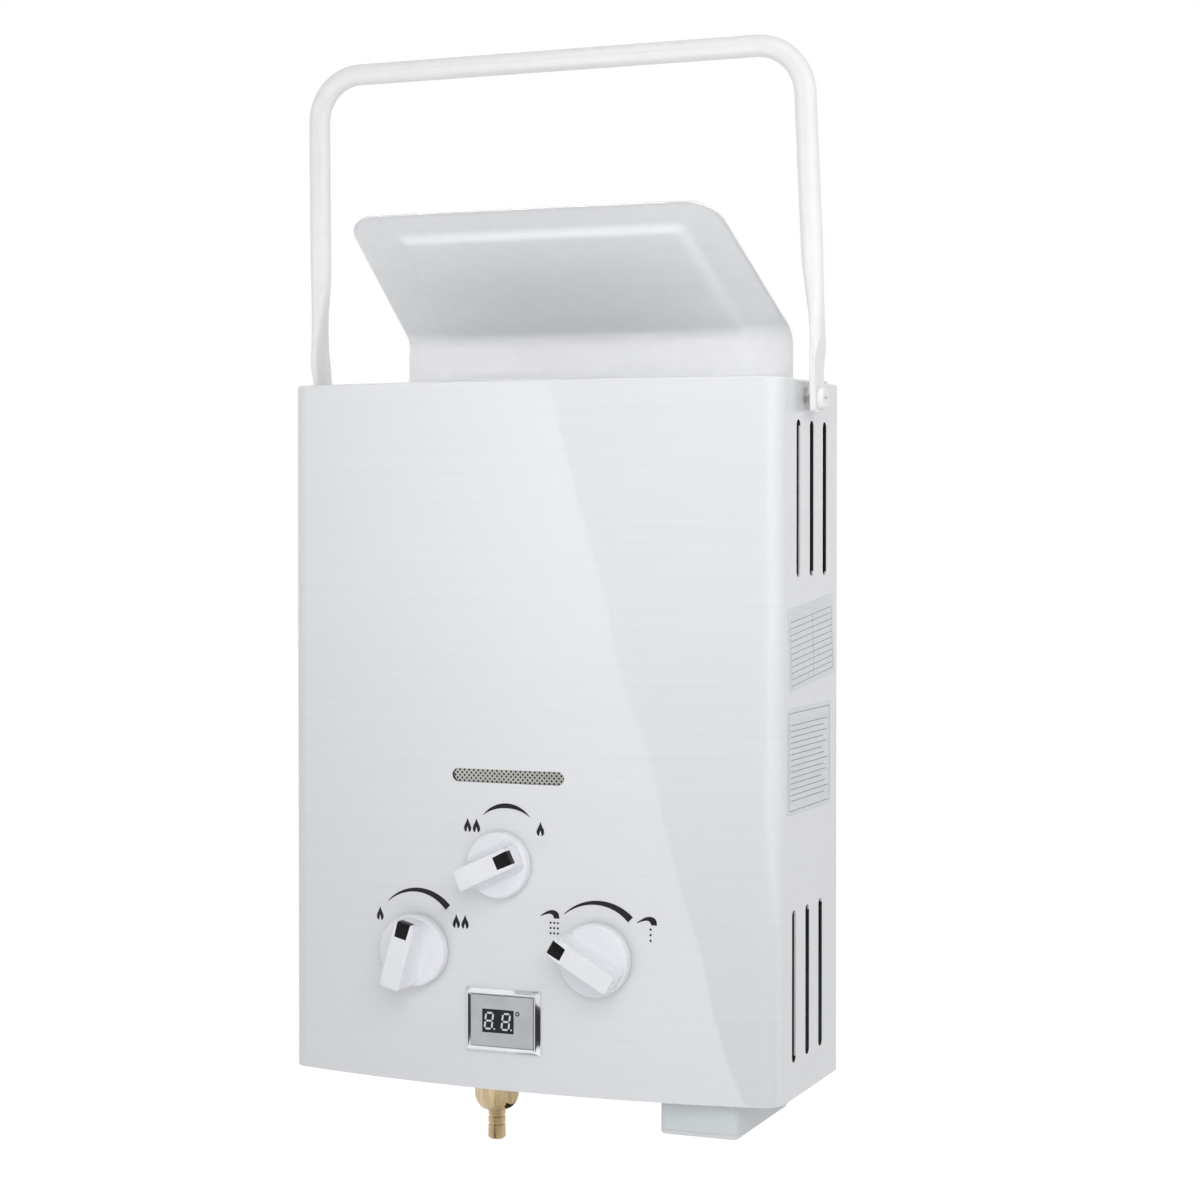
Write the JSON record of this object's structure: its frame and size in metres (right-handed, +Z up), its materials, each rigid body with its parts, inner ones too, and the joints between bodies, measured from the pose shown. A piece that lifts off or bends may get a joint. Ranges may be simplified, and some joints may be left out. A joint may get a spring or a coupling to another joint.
{
  "type": "portable propane water heater",
  "caption": "Wall-hung or hand-carried gas water heater: bowed white steel casing, swinging carrying bail, rain cap, turning knobs, display, burner and heat exchanger inside.",
  "frame": {"origin": "midway between the two wall keyholes, on the wall plane (the back of the back plate)", "axes": "+Z up, -Y out of the front with the knobs, +X to the right seen from the front"},
  "size_m": [0.3112, 0.144, 0.6127],
  "materials": {
    "white_steel": "glossy white paint",
    "white_bail": "white powder coat",
    "zinc_sheet": "galvanised sheet",
    "zinc_hardware": "zinc plated",
    "stainless_mesh": "perforated stainless",
    "white_plastic": "glossy moulded",
    "black_plastic": "semi-gloss moulded",
    "brass_parts": "machined",
    "bright_trim": "chromed",
    "silver_plastic": "satin silver",
    "dark_window": "glossy dark filter",
    "circuit_module": "matt",
    "label_film": "satin film",
    "clear_grey_plastic": "translucent moulded",
    "cell_can": "printed can",
    "nickel_contact": "nickel plated",
    "seal_rubber": "matt",
    "cast_valve": "die cast",
    "coil_housing": "matt",
    "burner_steel": "aluminised sheet",
    "copper_parts": "copper, satin",
    "switch_plastic": "matt",
    "igniter_plastic": "matt",
    "white_ceramic": "glazed"
  },
  "bodies": {
    "heater": {"back_plate": "zinc_sheet", "base_plate": "zinc_sheet", "battery_box": "clear_grey_plastic", "battery_cells": "cell_can", "battery_contacts": "nickel_contact", "battery_hinge_pin": "zinc_hardware", "burner_bars": "burner_steel", "burner_box": "zinc_sheet", "burner_probes": "white_ceramic", "casing_screws": "zinc_hardware", "cold_pipe": "copper_parts", "diaphragm": "seal_rubber", "diaphragm_cover": "cast_valve", "diaphragm_screws": "zinc_hardware", "display_bezel": "bright_trim", "display_face": "silver_plastic", "display_lens": "dark_window", "display_module": "circuit_module", "drain_plug": "white_plastic", "exchanger_blocks": "copper_parts", "exchanger_fins": "copper_parts", "exchanger_shell": "copper_parts", "exchanger_tubes": "copper_parts", "flame_window_grille": "stainless_mesh", "flue_hood": "zinc_sheet", "front_cover": "white_steel", "gas_hose_nipple": "brass_parts", "gas_inlet_stub": "brass_parts", "gas_nozzles": "brass_parts", "gas_rail": "cast_valve", "gas_riser": "copper_parts", "gas_seal": "seal_rubber", "gas_union_nut": "brass_parts", "gas_valve_body": "cast_valve", "handle_bolts": "white_bail", "handle_fixings": "zinc_hardware", "hot_pipe": "copper_parts", "ignition_microswitch": "switch_plastic", "mounting_brackets": "zinc_sheet", "pulse_igniter": "igniter_plastic", "rain_cap": "white_steel", "season_valve": "cast_valve", "side_labels": "label_film", "solenoid_valve": "coil_housing", "thermal_cutout": "zinc_hardware", "water_fittings": "brass_parts", "water_valve_body": "cast_valve"},
    "handle": {"carry_handle": "white_bail"},
    "season_control": {"season_knob": "white_plastic", "season_pointer": "black_plastic", "season_spindle": "brass_parts"},
    "gas_control": {"gas_knob": "white_plastic", "gas_pointer": "black_plastic", "gas_spindle": "brass_parts"},
    "water_control": {"water_knob": "white_plastic", "water_pointer": "black_plastic", "water_spindle": "brass_parts"},
    "battery_lid": {"battery_cover": "clear_grey_plastic"},
    "valve_rod": {"push_rod": "brass_parts"}
  },
  "joints": [
    {"name": "handle_swing", "type": "hinge", "parent": "heater", "child": "handle", "pos_m": [0, -0.055, 0.022], "axis": [1, 0, 0], "range_deg": [-90, 125]},
    {"name": "season_turn", "type": "hinge", "parent": "heater", "child": "season_control", "pos_m": [-0.008, -0.11, -0.23], "axis": [0, 1, 0], "range_deg": [-130, 0]},
    {"name": "gas_turn", "type": "hinge", "parent": "heater", "child": "gas_control", "pos_m": [-0.0595, -0.11, -0.2795], "axis": [0, 1, 0], "range_deg": [-75, 45]},
    {"name": "water_turn", "type": "hinge", "parent": "heater", "child": "water_control", "pos_m": [0.048, -0.11, -0.278], "axis": [0, 1, 0], "range_deg": [0, 120]},
    {"name": "battery_cover_swing", "type": "hinge", "parent": "heater", "child": "battery_lid", "pos_m": [0.099, -0.008, -0.3676], "axis": [1, 0, 0], "range_deg": [0, 95]},
    {"name": "rod_slide", "type": "slide", "parent": "heater", "child": "valve_rod", "axis": [-1, 0, 0], "range_m": [0, 0.003], "stiffness_N_per_m": 500}
  ]
}
